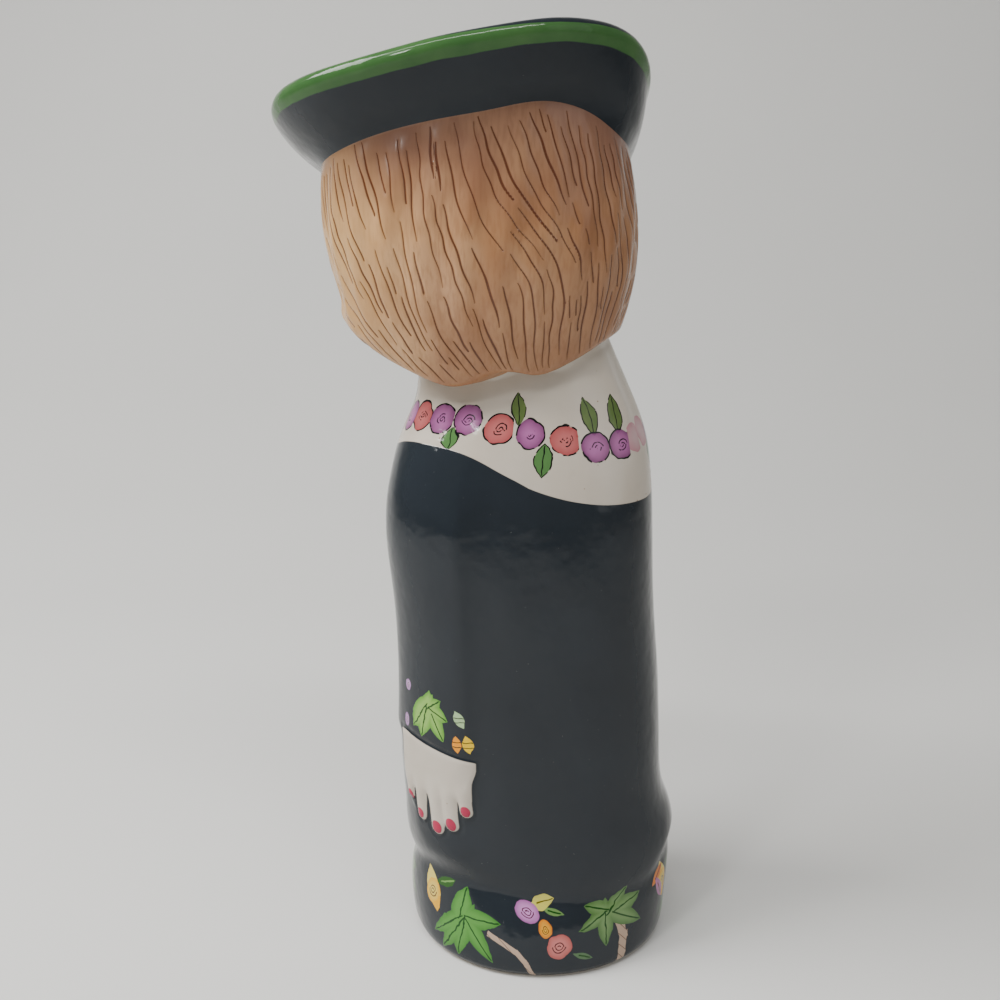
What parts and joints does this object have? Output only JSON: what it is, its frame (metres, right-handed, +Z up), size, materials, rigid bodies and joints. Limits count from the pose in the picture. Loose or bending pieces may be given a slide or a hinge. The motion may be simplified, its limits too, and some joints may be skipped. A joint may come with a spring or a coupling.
{
  "type": "figural bud vase",
  "caption": "Hollow glazed ceramic vase cast as a standing lady in a long dress, with her wide hat dished around the round mouth for cut flowers.",
  "frame": {"origin": "middle of the flat underside of the foot, on the surface that the vase stands on", "axes": "+Z up; the lady faces -Y, and her left hand, which hangs over the back of her hip, is on the +X side"},
  "size_m": [0.1155, 0.0927, 0.2575],
  "materials": {
    "glaze": "hand-painted glazed earthenware: black dress and hat, white skin, tan hair with brown lines, coloured blossoms and leaves, all under one glossy clear glaze"
  },
  "bodies": {
    "root": {"figural_vase": "glaze"}
  },
  "joints": []
}
